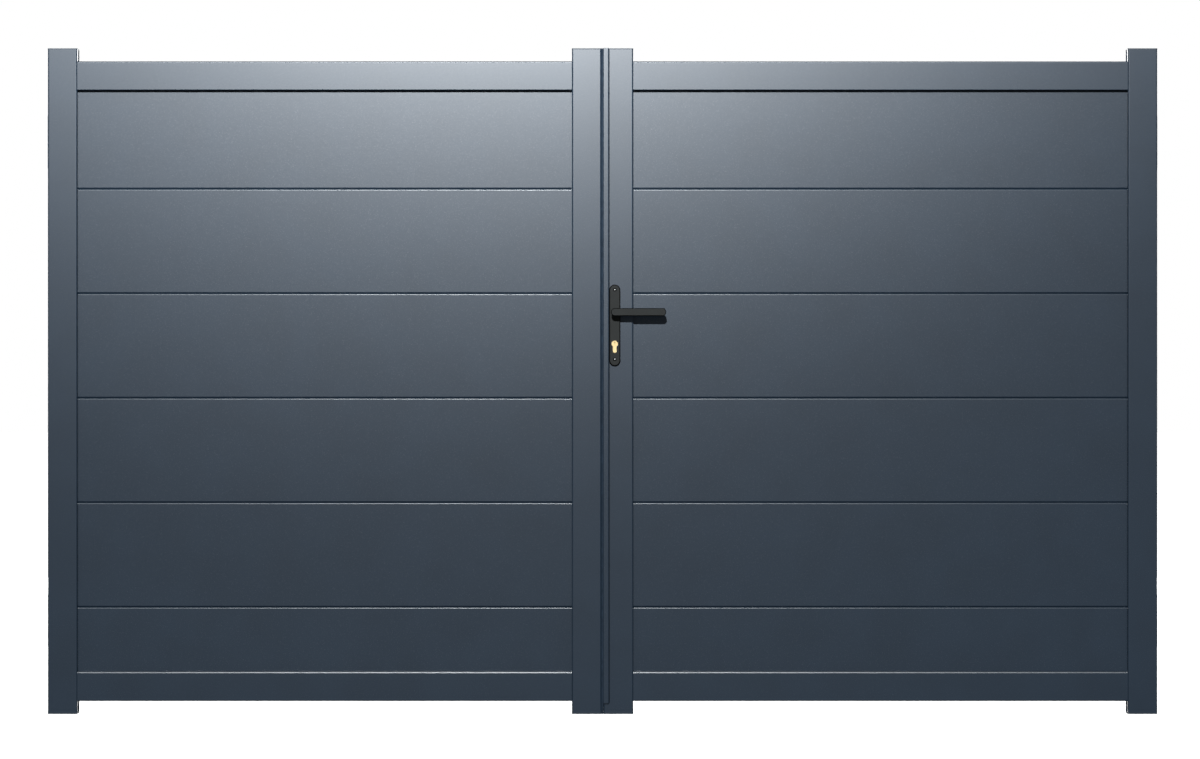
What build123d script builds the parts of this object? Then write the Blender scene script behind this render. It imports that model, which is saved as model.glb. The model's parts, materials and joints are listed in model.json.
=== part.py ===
from build123d import *
import os

os.makedirs("parts", exist_ok=True)

# Double swing gate: slotted aluminium bars around wide tongued boards, in millimetres.
# X runs along the closed gate to the right, Y away from its front face, Z up.
# The origin is the middle of the lower left hinge plate, on its pillar face.

# Whole gate
gate_width = 3000
gate_height = 1800
meeting_gap = 6

# Slotted bar, one extrusion for stiles and rails
bar_width = 80
bar_depth = 50
bar_wall = 2
bar_radius = 4
slot_depth = 17
rail_setback = 35

# Boards
board_thickness = 20
board_cover = 283
board_wall = 1.5
board_webs = 3
board_insert = 15
seam_chamfer = 4
tongue_thickness = 5
tongue_height = 10
groove_spare = 1
top_board_show = 265
slot_fit = 0.25
tongue_fit = 0.3

# Stile caps
cap_thickness = 3
plug_length = 12
plug_wall = 2
plug_fit = 0.25

# Meeting strip and seal
strip_width = 15
strip_thickness = 10
strip_inner_radius = 1
strip_outer_radius = 3
strip_overhang = 0.6
strip_lift = 30
seal_depth = 8
seal_gap = 0.5
seal_radius = 1.5

# Lock and handle set
lever_height = 1086
backset = 30
plate_length = 220
plate_width = 30
plate_thickness = 9
plate_edge = 2.5
plate_above_lever = 75
cylinder_drop = 85
cylinder_radius = 8.5
cylinder_height = 33
cylinder_leg = 10
cylinder_proud = 2.5
keyway_width = 2
keyway_height = 9
keyway_depth = 8
lever_length = 138
lever_bar_height = 21
lever_bar_thickness = 11
lever_reach = 55
lever_tip_bulge = 5
lever_edge = 2
neck_radius = 9
neck_sink = 4
spindle_side = 8
spindle_insert = 22
turning_fit = 0.4
cut_fit = 0.3
faceplate_length = 235
faceplate_width = 20
faceplate_thickness = 3
case_depth = 50
case_thickness = 15
case_length = 165
latch_height = 22
bolt_height = 34
bolt_width = 12
strike_length = 170
strike_thickness = 2
strike_fit = 1

# Hinges
lower_hinge_height = 250
upper_hinge_drop = 250
pillar_clearance = 8
pillar_plate_thickness = 5
pillar_plate_width = 60
pillar_plate_height = 150
anchor_spacing_y = 36
anchor_spacing_z = 110
anchor_radius = 4.5
plate_corner = 6
lug_thickness = 8
lug_radius = 12
pin_radius = 8
pin_fit = 0.15
pin_rise = 4
eye_radius = 13
eye_height = 44
eye_seat = 0.3
eye_inset = 15
eye_neck = 16
eye_standoff = 2
leaf_plate_thickness = 5
leaf_plate_width = 62
leaf_plate_height = 110
leaf_plate_lift = 6

# Places worked out from the sizes above
axis_behind = bar_depth / 2 + leaf_plate_thickness + eye_standoff + eye_radius
leaf_y = -(axis_behind - lug_radius + pillar_plate_width / 2)
axis_y = leaf_y + axis_behind
front_y = leaf_y - bar_depth / 2
back_y = leaf_y + bar_depth / 2
centre_x = pillar_clearance + gate_width / 2
foot_z = -lower_hinge_height
head_z = foot_z + gate_height
upper_hinge_z = head_z - upper_hinge_drop
leaf_width = (gate_width - meeting_gap) / 2
bottom_rail_z = foot_z + rail_setback + bar_width / 2
top_rail_z = head_z - rail_setback - bar_width / 2
panel_foot_z = bottom_rail_z + bar_width / 2 - slot_depth
panel_head_z = top_rail_z - bar_width / 2 + board_insert
rail_length = leaf_width - 2 * bar_width
slot_width = board_thickness + 2 * slot_fit
lever_x = centre_x + meeting_gap / 2 + backset
lever_z = foot_z + lever_height
meeting_edge_right = centre_x + meeting_gap / 2
meeting_edge_left = centre_x - meeting_gap / 2
lock_z = lever_z - cylinder_drop / 2
leg_drop = cylinder_height - cylinder_radius - cylinder_leg / 2

LEFT = -1
RIGHT = 1
FRONT = -1
BACK = 1
SIDE_NAMES = {LEFT: "left", RIGHT: "right"}


def upright_plane(x, z, opening):
    """Level plane for a stile's section, turned so that the slot opens along X by opening."""
    return Plane(origin=(x, leaf_y, z), x_dir=(opening, 0, 0), z_dir=(0, 0, 1))


def lengthwise_plane(x, z, up):
    """Plane across X whose own X points up or down, for sections of rails and boards."""
    return Plane(origin=(x, leaf_y, z), x_dir=(0, 0, up), z_dir=(1, 0, 0))


def face_plane(side, z, off=0):
    """Plane on the right meeting stile's front or back face, on the lever's line, with its own Y up."""
    y = leaf_y + side * (bar_depth / 2 + off)
    return Plane(origin=(lever_x, y, z), x_dir=(-side, 0, 0), z_dir=(0, side, 0))


def edge_plane(side, z):
    """Plane on a leaf's meeting edge, facing the other leaf, with its own Y down."""
    x = centre_x + side * meeting_gap / 2
    return Plane(origin=(x, leaf_y, z), x_dir=(0, side, 0), z_dir=(-side, 0, 0))


# Bar section with its slot opening to +X
with BuildSketch() as bar_section:
    RectangleRounded(bar_width, bar_depth, bar_radius)
    Rectangle(bar_width - 2 * bar_wall, bar_depth - 2 * bar_wall, mode=Mode.SUBTRACT)
    with Locations((bar_width / 2 - (slot_depth + bar_wall) / 2, 0)):
        Rectangle(slot_depth + bar_wall, slot_width + 2 * bar_wall)
    with Locations((bar_width / 2 - slot_depth / 2, 0)):
        Rectangle(slot_depth, slot_width, mode=Mode.SUBTRACT)


# Board section: its own X runs up the board, from the groove to the tongue
half_board = board_thickness / 2
half_tongue = tongue_thickness / 2
half_groove = half_tongue + tongue_fit
groove_depth = tongue_height + groove_spare
chamber_start = groove_depth + board_wall
chamber_run = board_cover - seam_chamfer - board_wall - chamber_start
chamber_height = (chamber_run - board_webs * board_wall) / (board_webs + 1)

with BuildSketch() as board_section:
    with BuildLine():
        Polyline(
            (0, 0),
            (0, half_board - seam_chamfer),
            (seam_chamfer, half_board),
            (board_cover - seam_chamfer, half_board),
            (board_cover, half_board - seam_chamfer),
            (board_cover, half_tongue),
            (board_cover + tongue_height, half_tongue),
            (board_cover + tongue_height, 0),
            close=True,
        )
    make_face()
    mirror(about=Plane.XZ)
    with Locations((groove_depth / 2, 0)):
        Rectangle(groove_depth, 2 * half_groove, mode=Mode.SUBTRACT)
    with Locations((chamber_start + chamber_run / 2, 0)):
        with GridLocations(chamber_height + board_wall, 0, board_webs + 1, 1):
            Rectangle(chamber_height, board_thickness - 2 * board_wall, mode=Mode.SUBTRACT)


def cylinder_outline(grow):
    """Profile cylinder's outline about its round part, grown by grow."""
    with BuildSketch() as outline:
        Circle(cylinder_radius + grow)
        with Locations((0, -leg_drop / 2)):
            Rectangle(cylinder_leg + 2 * grow, leg_drop)
        with Locations((0, -leg_drop)):
            Circle(cylinder_leg / 2 + grow)
    return outline.sketch


# Square cut-outs through stile and lock case, about the lever's line: the turning spindle and the cylinder
spindle_sweep = spindle_side * 2**0.5 + 2 * turning_fit
with BuildSketch() as lock_cutouts:
    Rectangle(spindle_sweep, spindle_sweep)
    with Locations((0, cylinder_radius - cylinder_height / 2 - cylinder_drop)):
        Rectangle(2 * (cylinder_radius + cut_fit), cylinder_height + 2 * cut_fit)


# Stiles
stile_length = gate_height - 2 * cap_thickness
hinge_stile_offset = gate_width / 2 - bar_width / 2
meeting_stile_offset = meeting_gap / 2 + bar_width / 2
stile_z = foot_z + cap_thickness


def hinge_stile(side):
    """Outer upright of a leaf."""
    name = f"{SIDE_NAMES[side]}_hinge_stile"
    with BuildPart() as stile:
        with BuildSketch(upright_plane(centre_x + side * hinge_stile_offset, stile_z, -side)):
            add(bar_section.sketch)
        extrude(amount=stile_length)
    stile.part.label = name
    export_step(stile.part, f"parts/{name}.step")


with BuildPart() as left_meeting_stile:
    with BuildSketch(upright_plane(centre_x - meeting_stile_offset, stile_z, -1)):
        add(bar_section.sketch)
    extrude(amount=stile_length)
    with BuildSketch(edge_plane(LEFT, lock_z)):
        SlotOverall(strike_length, faceplate_width, rotation=90)
    extrude(amount=-2 * bar_wall, mode=Mode.SUBTRACT)
left_meeting_stile.part.label = "left_meeting_stile"
export_step(left_meeting_stile.part, "parts/left_meeting_stile.step")

with BuildPart() as right_meeting_stile:
    with BuildSketch(upright_plane(centre_x + meeting_stile_offset, stile_z, 1)):
        add(bar_section.sketch)
    extrude(amount=stile_length)
    with BuildSketch(edge_plane(RIGHT, lock_z)):
        SlotOverall(faceplate_length, faceplate_width, rotation=90)
    extrude(amount=-2 * bar_wall, mode=Mode.SUBTRACT)
    with BuildSketch(face_plane(FRONT, lever_z)):
        add(lock_cutouts.sketch)
    extrude(amount=-bar_depth, mode=Mode.SUBTRACT)
right_meeting_stile.part.label = "right_meeting_stile"
export_step(right_meeting_stile.part, "parts/right_meeting_stile.step")


# Stile caps: a flat lid with cut corners and a hollow plug in the bar's hollow
def stile_caps(side):
    """The four caps of one leaf's stiles."""
    name = f"{SIDE_NAMES[side]}_stile_caps"
    places = [(hinge_stile_offset, -side), (meeting_stile_offset, side)]
    ends = [(foot_z, 1), (head_z, -1)]
    plug_run = bar_width - slot_depth - 2 * bar_wall - 2 * plug_fit
    plug_span = bar_depth - 2 * bar_wall - 2 * plug_fit
    with BuildPart() as caps:
        for offset_x, opening in places:
            for end_z, inward in ends:
                plane = upright_plane(centre_x + side * offset_x, end_z, opening)
                with BuildSketch(plane) as lid:
                    Rectangle(bar_width, bar_depth)
                    chamfer(lid.vertices(), length=bar_radius / 2)
                extrude(amount=inward * cap_thickness)
                with BuildSketch(plane.offset(inward * cap_thickness)):
                    with Locations((-slot_depth / 2, 0)):
                        Rectangle(plug_run, plug_span)
                        Rectangle(plug_run - 2 * plug_wall, plug_span - 2 * plug_wall, mode=Mode.SUBTRACT)
                extrude(amount=inward * plug_length)
    caps.part.label = name
    export_step(caps.part, f"parts/{name}.step")


# Rails
def rail(side, level, z, opening):
    """A rail between a leaf's stiles, its slot facing the boards."""
    name = f"{SIDE_NAMES[side]}_{level}_rail"
    start_x = centre_x + side * (meeting_gap / 2 + leaf_width / 2) - rail_length / 2
    with BuildPart() as bar:
        with BuildSketch(lengthwise_plane(start_x, z, opening)):
            add(bar_section.sketch)
        extrude(amount=rail_length)
    bar.part.label = name
    export_step(bar.part, f"parts/{name}.step")


# Boards, numbered from the top
def boards(side):
    """The boards of one leaf: full ones between the seams, the top and bottom ones trimmed."""
    length = rail_length + 2 * board_insert
    start_x = centre_x + side * (meeting_gap / 2 + leaf_width / 2) - length / 2
    seam_z = top_rail_z - bar_width / 2 - top_board_show
    number = 1
    while seam_z + board_cover > panel_foot_z + slot_depth + seam_chamfer:
        name = f"{SIDE_NAMES[side]}_board_{number}"
        with BuildPart() as board:
            with BuildSketch(lengthwise_plane(start_x, seam_z, 1)):
                add(board_section.sketch)
            extrude(amount=length)
            split(bisect_by=Plane.XY.offset(panel_head_z), keep=Keep.BOTTOM)
            split(bisect_by=Plane.XY.offset(panel_foot_z), keep=Keep.TOP)
        board.part.label = name
        export_step(board.part, f"parts/{name}.step")
        seam_z -= board_cover
        number += 1


# Hinges: the lower pin points up and the upper one down, so a hung leaf can't be lifted off
def hinge_bracket(side, level, plate_z, up):
    """Pillar plate with its lug and pin, in one welded piece."""
    name = f"{level}_{SIDE_NAMES[side]}_hinge_bracket"
    face_x = centre_x + side * (gate_width / 2 + pillar_clearance)
    pin_x = centre_x + side * (gate_width / 2 - eye_inset)
    lug_reach = pillar_clearance - pillar_plate_thickness + eye_inset
    seat_z = plate_z + up * lug_thickness / 2
    pillar_side = Plane(origin=(face_x, 0, plate_z), x_dir=(0, 1, 0), z_dir=(-side, 0, 0))
    lug_plane = Plane(origin=(pin_x, axis_y, seat_z), x_dir=(side, 0, 0), z_dir=(0, 0, 1))
    with BuildPart() as bracket:
        with BuildSketch(pillar_side) as pillar_sketch:
            Rectangle(pillar_plate_width, pillar_plate_height)
            chamfer(pillar_sketch.vertices(), length=plate_corner)
            with GridLocations(anchor_spacing_y, anchor_spacing_z, 2, 2):
                Circle(anchor_radius, mode=Mode.SUBTRACT)
        extrude(amount=pillar_plate_thickness)
        with BuildSketch(lug_plane):
            Circle(lug_radius)
            with Locations((lug_reach / 2, 0)):
                Rectangle(lug_reach, 2 * lug_radius)
        extrude(amount=-up * lug_thickness)
        with BuildSketch(lug_plane):
            Circle(pin_radius)
        extrude(amount=up * (eye_seat + eye_height + pin_rise))
    bracket.part.label = name
    export_step(bracket.part, f"parts/{name}.step")


def hinge_eye(side, level, plate_z, up):
    """Eye on a plate that is screwed to the back of the hinge stile."""
    name = f"{level}_{SIDE_NAMES[side]}_hinge_eye"
    pin_x = centre_x + side * (gate_width / 2 - eye_inset)
    eye_z = plate_z + up * (lug_thickness / 2 + eye_seat)
    leaf_plate_z = eye_z + up * leaf_plate_lift
    eye_plane = Plane((pin_x, axis_y, eye_z))
    neck_length = eye_radius + eye_standoff
    with BuildPart() as eye:
        with BuildSketch(Plane((pin_x, back_y, leaf_plate_z))):
            with Locations((side * (eye_neck - leaf_plate_width) / 2, leaf_plate_thickness / 2)):
                Rectangle(leaf_plate_width, leaf_plate_thickness)
        extrude(amount=up * leaf_plate_height)
        with BuildSketch(eye_plane):
            Circle(eye_radius)
        extrude(amount=up * eye_height)
        with BuildSketch(Plane((pin_x, axis_y, leaf_plate_z))):
            with Locations((0, -neck_length / 2)):
                Rectangle(eye_neck, neck_length)
        extrude(amount=up * (eye_height - leaf_plate_lift))
        with BuildSketch(eye_plane):
            Circle(pin_radius + pin_fit)
        extrude(amount=up * eye_height, mode=Mode.SUBTRACT)
    eye.part.label = name
    export_step(eye.part, f"parts/{name}.step")


# Both leaves
for leaf_side in (LEFT, RIGHT):
    hinge_stile(leaf_side)
    stile_caps(leaf_side)
    rail(leaf_side, "top", top_rail_z, -1)
    rail(leaf_side, "bottom", bottom_rail_z, 1)
    boards(leaf_side)
    for hinge_level, hinge_z, pin_up in (("lower", 0, 1), ("upper", upper_hinge_z, -1)):
        hinge_bracket(leaf_side, hinge_level, hinge_z, pin_up)
        hinge_eye(leaf_side, hinge_level, hinge_z, pin_up)

# Meeting strip on the right leaf's face, along its meeting edge
with BuildPart() as meeting_strip:
    strip_x = meeting_edge_right - strip_overhang + strip_width / 2
    strip_plane = Plane.XY.offset(foot_z + strip_lift)
    with BuildSketch(strip_plane):
        with Locations((strip_x, front_y - strip_thickness / 2)):
            Rectangle(strip_width, strip_thickness)
    extrude(amount=gate_height - strip_lift)
    inner_edge = meeting_strip.faces().sort_by(Axis.Y)[0].edges().sort_by(Axis.X)[0]
    fillet(inner_edge, radius=strip_inner_radius)
    outer_edge = meeting_strip.faces().sort_by(Axis.Y)[0].edges().sort_by(Axis.X)[-1]
    fillet(outer_edge, radius=strip_outer_radius)
meeting_strip.part.label = "meeting_strip"
export_step(meeting_strip.part, "parts/meeting_strip.step")

# Soft seal in the meeting gap, along the left leaf's edge
with BuildPart() as meeting_seal:
    seal_width = meeting_gap - seal_gap
    seal_y = front_y + bar_radius + seal_depth / 2
    with BuildSketch(Plane.XY.offset(foot_z)):
        with Locations((meeting_edge_left + seal_width / 2, seal_y)):
            Rectangle(seal_width, seal_depth)
    extrude(amount=gate_height)
    nose_edges = meeting_seal.faces().sort_by(Axis.X)[-1].edges()
    fillet(nose_edges.filter_by(Axis.Z), radius=seal_radius)
meeting_seal.part.label = "meeting_seal"
export_step(meeting_seal.part, "parts/meeting_seal.step")


# Lock: strike plate in the left leaf, faceplate, case and drawn-in bolts in the right one
def bolt_windows(grow):
    """The latch and bolt openings, side by side along a lock plate, about the middle of the lock."""
    with BuildSketch() as windows:
        with Locations((0, -cylinder_drop / 2)):
            Rectangle(bolt_width + 2 * grow, latch_height + 2 * grow)
        with Locations((0, cylinder_drop / 2)):
            Rectangle(bolt_width + 2 * grow, bolt_height + 2 * grow)
    return windows.sketch


with BuildPart() as strike_plate:
    with BuildSketch(edge_plane(LEFT, lock_z)):
        SlotOverall(strike_length - 2 * cut_fit, faceplate_width - 2 * cut_fit, rotation=90)
        add(bolt_windows(strike_fit), mode=Mode.SUBTRACT)
    extrude(amount=-strike_thickness)
strike_plate.part.label = "strike_plate"
export_step(strike_plate.part, "parts/strike_plate.step")

with BuildPart() as lock_faceplate:
    with BuildSketch(edge_plane(RIGHT, lock_z)):
        SlotOverall(faceplate_length - 2 * cut_fit, faceplate_width - 2 * cut_fit, rotation=90)
        add(bolt_windows(cut_fit), mode=Mode.SUBTRACT)
    extrude(amount=-faceplate_thickness)
lock_faceplate.part.label = "lock_faceplate"
export_step(lock_faceplate.part, "parts/lock_faceplate.step")

with BuildPart() as lock_bolts:
    with BuildSketch(edge_plane(RIGHT, lock_z)):
        add(bolt_windows(0))
    extrude(amount=-faceplate_thickness)
lock_bolts.part.label = "lock_bolts"
export_step(lock_bolts.part, "parts/lock_bolts.step")

with BuildPart() as lock_case:
    case_plane = edge_plane(RIGHT, lock_z).offset(-faceplate_thickness)
    with BuildSketch(case_plane):
        Rectangle(case_thickness, case_length)
    extrude(amount=-case_depth)
    with BuildSketch(face_plane(FRONT, lever_z)):
        add(lock_cutouts.sketch)
    extrude(amount=-bar_depth, mode=Mode.SUBTRACT)
lock_case.part.label = "lock_case"
export_step(lock_case.part, "parts/lock_case.step")

with BuildPart() as lock_cylinder:
    cylinder_reach = plate_thickness + cylinder_proud
    with BuildSketch(face_plane(FRONT, lever_z - cylinder_drop, cylinder_reach)):
        add(cylinder_outline(0))
    extrude(amount=-(bar_depth + 2 * cylinder_reach))
    for face_side in (FRONT, BACK):
        with BuildSketch(face_plane(face_side, lever_z - cylinder_drop, cylinder_reach)):
            Rectangle(keyway_width, keyway_height)
        extrude(amount=-keyway_depth, mode=Mode.SUBTRACT)
lock_cylinder.part.label = "lock_cylinder"
export_step(lock_cylinder.part, "parts/lock_cylinder.step")


def handle_plate(side, name):
    """Long plate with round ends, holed for the lever's neck and the cylinder."""
    plate_middle = plate_above_lever - plate_length / 2
    with BuildPart() as plate:
        with BuildSketch(face_plane(side, lever_z)):
            with Locations((0, plate_middle)):
                SlotOverall(plate_length, plate_width, rotation=90)
        extrude(amount=plate_thickness)
        rim = plate.faces().sort_by(Axis.Y)[0 if side == FRONT else -1].edges()
        chamfer(rim, length=plate_edge)
        with BuildSketch(face_plane(side, lever_z)):
            Circle(neck_radius + turning_fit)
            with Locations((0, -cylinder_drop)):
                add(cylinder_outline(cut_fit))
        extrude(amount=plate_thickness, mode=Mode.SUBTRACT)
    plate.part.label = name
    export_step(plate.part, f"parts/{name}.step")


def lever(side, name):
    """Flat lever bar on a round neck, pointing to the hinge side of its leaf."""
    hand = -side
    half_bar = lever_bar_height / 2
    shoulder = lever_length - lever_tip_bulge
    with BuildPart() as handle:
        with BuildSketch(face_plane(side, lever_z, lever_reach - lever_bar_thickness)):
            with BuildLine():
                Line((0, half_bar), (hand * shoulder, half_bar))
                ThreePointArc((hand * shoulder, half_bar), (hand * lever_length, 0), (hand * shoulder, -half_bar))
                Line((hand * shoulder, -half_bar), (0, -half_bar))
                ThreePointArc((0, -half_bar), (-hand * half_bar, 0), (0, half_bar))
            make_face()
        extrude(amount=lever_bar_thickness)
        chamfer(handle.faces().sort_by(Axis.Y)[0].edges(), length=lever_edge)
        chamfer(handle.faces().sort_by(Axis.Y)[-1].edges(), length=lever_edge)
        with BuildSketch(face_plane(side, lever_z, plate_thickness - neck_sink)):
            Circle(neck_radius)
        extrude(amount=lever_reach - lever_bar_thickness / 2 - plate_thickness + neck_sink)
        with BuildSketch(face_plane(side, lever_z, plate_thickness - neck_sink)):
            Rectangle(spindle_side + cut_fit, spindle_side + cut_fit)
        extrude(amount=spindle_insert + cut_fit, mode=Mode.SUBTRACT)
    handle.part.label = name
    export_step(handle.part, f"parts/{name}.step")


handle_plate(FRONT, "front_handle_plate")
handle_plate(BACK, "back_handle_plate")
lever(FRONT, "front_lever")
lever(BACK, "back_lever")

with BuildPart() as lever_spindle:
    spindle_reach = plate_thickness - neck_sink + spindle_insert
    with BuildSketch(face_plane(FRONT, lever_z, spindle_reach)):
        Rectangle(spindle_side, spindle_side)
    extrude(amount=-(bar_depth + 2 * spindle_reach))
lever_spindle.part.label = "lever_spindle"
export_step(lever_spindle.part, "parts/lever_spindle.step")
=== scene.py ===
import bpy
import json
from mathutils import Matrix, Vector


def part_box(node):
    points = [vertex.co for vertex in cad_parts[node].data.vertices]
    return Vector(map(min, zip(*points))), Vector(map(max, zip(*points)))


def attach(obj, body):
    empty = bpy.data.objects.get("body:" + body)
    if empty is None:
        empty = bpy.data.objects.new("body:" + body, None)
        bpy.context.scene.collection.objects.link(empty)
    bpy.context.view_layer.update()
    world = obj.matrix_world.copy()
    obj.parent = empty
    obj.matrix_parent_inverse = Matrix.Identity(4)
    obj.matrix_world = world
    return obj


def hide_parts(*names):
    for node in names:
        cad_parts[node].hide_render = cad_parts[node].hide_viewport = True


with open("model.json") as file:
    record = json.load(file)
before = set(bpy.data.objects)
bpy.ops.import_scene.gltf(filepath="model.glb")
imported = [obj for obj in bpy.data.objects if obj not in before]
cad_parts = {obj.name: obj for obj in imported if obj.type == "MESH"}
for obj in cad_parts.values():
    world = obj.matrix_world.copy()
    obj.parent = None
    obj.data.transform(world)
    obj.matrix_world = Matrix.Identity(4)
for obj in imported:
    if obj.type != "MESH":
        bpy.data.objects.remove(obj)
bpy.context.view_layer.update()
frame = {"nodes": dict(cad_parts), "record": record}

import json
import math

import bmesh
import bpy
from bpy.props import FloatProperty, FloatVectorProperty, IntProperty, PointerProperty
from mathutils import Matrix, Vector

bl_info = {
    "name": "Double Swing Gate",
    "version": (1, 0, 0),
    "blender": (4, 5, 0),
    "location": "View3D > Sidebar > Gate",
    "description": "Finishes a boarded double swing gate around its packed construction",
    "category": "Object",
}

MM = 0.001
SIDES = {"left": -1, "right": 1}
LEVELS = {"lower": 1, "upper": -1}
FACES = {"front": Vector((0, -1, 0)), "back": Vector((0, 1, 0))}

# Stretch of an extrusion's draw lines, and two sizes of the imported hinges
ALONG_X, ALONG_Z = (120, 1, 1), (1, 1, 120)
HINGE_PLATE = 5 * MM
EYE_RADIUS = 13 * MM


# Settings

def size(name, text, millimetres):
    """A length setting, given in millimetres and kept in metres."""
    return FloatProperty(name=name, description=text, default=millimetres * MM, unit="LENGTH", precision=5)


def tint(name, text, colour):
    """A colour setting in linear red, green and blue."""
    return FloatVectorProperty(
        name=name, description=text, default=colour, size=3, min=0, max=1, subtype="COLOR"
    )


def share(name, text, value):
    """A setting from 0 to 1."""
    return FloatProperty(name=name, description=text, default=value, min=0, max=1, subtype="FACTOR")


def watts(name, text, power):
    """A light's power setting."""
    return FloatProperty(name=name, description=text, default=power, min=0, subtype="POWER")


def place(name, text, metres):
    """A point setting in metres."""
    return FloatVectorProperty(name=name, description=text, default=metres, size=3, subtype="XYZ_LENGTH")


class GateFinishSettings(bpy.types.PropertyGroup):
    """Colours and surface grain of the gate's materials."""

    coat_colour: tint("Coat", "Powder coat on bars and boards", (0.0168, 0.0304, 0.0492))
    coat_roughness: share("Coat roughness", "Gloss of the powder coat", 0.2588)
    coat_mottle: share("Coat mottle", "How far the coat's shade wanders", 0.06)
    coat_peel: size("Coat peel", "Width of the coat's fine ripples", 0.9)
    cap_colour: tint("Caps", "Moulded end caps", (0.0160, 0.0290, 0.0465))
    handle_colour: tint("Handle", "Satin black handle set", (0.0130, 0.0142, 0.0134))
    hinge_colour: tint("Hinges", "Black coat on the hinge irons", (0.0120, 0.0125, 0.0130))
    rubber_colour: tint("Seal", "Soft seal in the meeting gap", (0.0185, 0.0315, 0.0500))
    steel_colour: tint("Steel", "Bare steel of lock plates and screws", (0.52, 0.52, 0.51))
    brass_colour: tint("Brass", "Profile cylinder", (0.79, 0.64, 0.36))


class GateHardwareSettings(bpy.types.PropertyGroup):
    """Edge roundings and small hardware."""

    lip_rise: size("Board lip", "How far a board's upper edge is drawn up into the seam", 2.6)
    lip_round: size("Lip edge", "Length of the rounding along a board's upper edge", 1.9)
    seam_round: size("Seam edge", "Length of the rounding along a board's lower edge", 0.4)
    plate_round: size("Plate edge", "Rounding along the handle plate's rim", 2.0)
    lever_round: size("Lever edge", "Rounding along the lever's edges", 1.1)
    cap_round: size("Cap edge", "Rounding along a cap's rim", 0.8)
    iron_round: size("Iron edge", "Rounding along the hinge irons' edges", 0.6)
    lock_round: size("Lock edge", "Rounding along the lock plates' edges", 0.3)
    sink_diameter: size("Countersink", "Mouth of the handle plate's screw holes", 10)
    sink_floor: size("Countersink floor", "Floor of the handle plate's screw holes", 5.0)
    sink_depth: size("Countersink depth", "Depth of the handle plate's screw holes", 3.0)
    upper_screw_inset: size("Upper screw", "Upper plate screw from the plate's top end", 14)
    lower_screw_inset: size("Lower screw", "Lower plate screw from the plate's bottom end", 18)
    plug_diameter: size("Plug", "Turning plug in the cylinder's face", 13)
    plug_gap: size("Plug gap", "Groove around the turning plug", 0.5)
    head_diameter: size("Screw head", "Head of a hinge screw", 11)
    head_dome: size("Screw dome", "Rise of a hinge screw's head", 2.6)
    socket_width: size("Socket width", "Hexagon socket across its corners", 5)
    socket_depth: size("Socket depth", "Depth of the hexagon socket below the dome's top", 1.8)
    bead_radius: size("Weld bead", "Half width of the hinge welds", 2.4)
    bead_step: size("Weld step", "Distance between the ripples of a weld", 1.9)
    seed: IntProperty(name="Seed", description="Seed for the turn of the screws", default=7, min=0)


class GateStageSettings(bpy.types.PropertyGroup):
    """Camera, floor and studio light."""

    camera_distance: FloatProperty(
        name="Camera distance", description="From the gate's front face", default=10.9, unit="LENGTH"
    )
    camera_left: size("Camera left", "Camera left of the gate's middle", 6.9)
    camera_rise: size("Camera rise", "Camera above the gate's middle", 4.6)
    lens: FloatProperty(name="Lens", description="Focal length in millimetres", default=120.96, min=1)
    ground_gap: size("Ground gap", "Floor below the stiles", 30)
    key_place: place("Key light place", "The compact key light, in front and above", (0.745, -19.088, 6.84))
    key_aim: place("Key beam aim", "Where the middle of the key light's beam goes", (0.918, -0.088, 4.376))
    key_angle: FloatProperty(
        name="Key beam angle", description="Full angle of the key light's beam", default=0.4152, subtype="ANGLE"
    )
    key_even: watts("Key light", "Power of the key light's even part in watts", 12800)
    key_beam: watts("Key beam", "Power of the key light's beam in watts", 36000)
    key_tint: tint("Key tint", "Slightly cool colour of the key light", (0.935, 0.973, 1.0))
    key_size: size("Key light size", "Radius of the key light", 220)
    roof_place: place("Overhead light place", "The wide light overhead", (1.5, -1.3, 4.6))
    roof_power: watts("Overhead light", "Power in watts", 30)
    rear_place: place("Rear light place", "The soft light behind the gate", (1.5, 7, 3))
    rear_power: watts("Rear light", "Power in watts", 1500)
    surround: share("Surround", "Brightness of the dim studio around the gate", 0.15)


def settings():
    """The finish, hardware and stage settings of the open scene."""
    scene = bpy.context.scene
    return scene.gate_finish, scene.gate_hardware, scene.gate_stage


# Materials

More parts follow.
